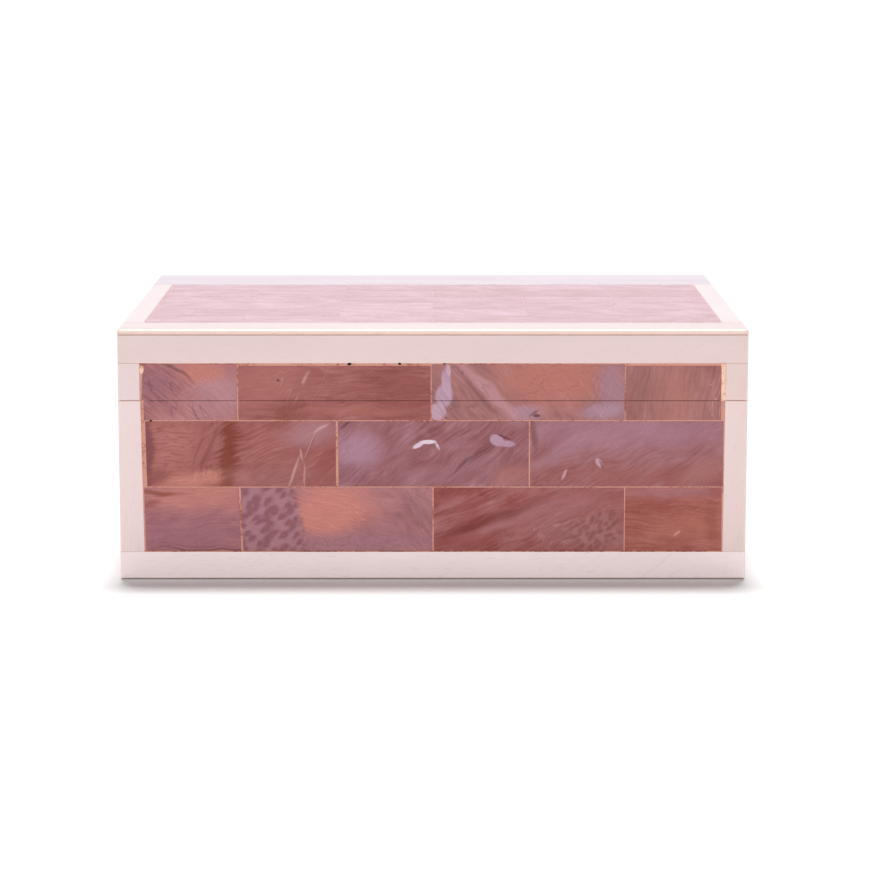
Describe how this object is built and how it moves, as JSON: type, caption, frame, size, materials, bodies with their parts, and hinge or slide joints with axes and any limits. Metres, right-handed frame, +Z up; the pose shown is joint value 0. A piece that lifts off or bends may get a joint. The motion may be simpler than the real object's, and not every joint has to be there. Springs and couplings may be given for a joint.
{
  "type": "inlaid wooden box",
  "caption": "Rectangular wooden box faced with pale bone strips and pink shell tiles, with a lid that swings up on two small brass stop hinges at the back.",
  "frame": {"origin": "middle of the bounding box at the height of the table; the front face and the hinge heels are equally far from it", "axes": "+X to the right seen from the front, +Y towards the hinges at the back, +Z up"},
  "size_m": [0.254, 0.206, 0.1025],
  "materials": {
    "wood": "matte",
    "bone": "satin",
    "shell": "polished",
    "brass": "satin",
    "screw_steel": "satin",
    "velvet": "matte",
    "felt": "matte"
  },
  "bodies": {
    "body": {"body_front_wall": "wood", "body_back_wall": "wood", "body_left_wall": "wood", "body_right_wall": "wood", "body_base_panel": "wood", "body_front_rail": "bone", "body_front_left_stile": "bone", "body_front_right_stile": "bone", "body_back_border": "bone", "body_left_border": "bone", "body_right_border": "bone", "front_lower_tile_1": "shell", "front_lower_tile_2": "shell", "front_lower_tile_3": "shell", "front_lower_tile_4": "shell", "front_middle_tile_1": "shell", "front_middle_tile_2": "shell", "front_middle_tile_3": "shell", "body_front_upper_tiles": "shell", "body_back_tile_field": "shell", "body_left_tile_field": "shell", "body_right_tile_field": "shell", "left_hinge_body_leaf": "brass", "left_hinge_pin": "brass", "right_hinge_body_leaf": "brass", "right_hinge_pin": "brass", "left_hinge_body_screw_1": "screw_steel", "left_hinge_body_screw_2": "screw_steel", "right_hinge_body_screw_1": "screw_steel", "right_hinge_body_screw_2": "screw_steel", "body_wall_lining": "velvet", "body_floor_pad": "velvet", "base_felt": "felt"},
    "lid": {"lid_front_wall": "wood", "lid_back_wall": "wood", "lid_left_wall": "wood", "lid_right_wall": "wood", "lid_top_panel": "wood", "lid_front_rail": "bone", "lid_front_left_stile": "bone", "lid_front_right_stile": "bone", "lid_back_border": "bone", "lid_left_border": "bone", "lid_right_border": "bone", "top_front_strip": "bone", "top_back_strip": "bone", "top_left_strip": "bone", "top_right_strip": "bone", "lid_front_upper_tiles": "shell", "lid_back_tile_field": "shell", "lid_left_tile_field": "shell", "lid_right_tile_field": "shell", "top_tile_field": "shell", "left_hinge_lid_leaf": "brass", "right_hinge_lid_leaf": "brass", "left_hinge_lid_screw_1": "screw_steel", "left_hinge_lid_screw_2": "screw_steel", "right_hinge_lid_screw_1": "screw_steel", "right_hinge_lid_screw_2": "screw_steel", "lid_lining": "velvet"}
  },
  "joints": [
    {"name": "lid_hinge", "type": "hinge", "parent": "body", "child": "lid", "pos_m": [0, 0.10059, 0.0735], "axis": [-1, 0, 0], "range_deg": [0, 100]}
  ]
}
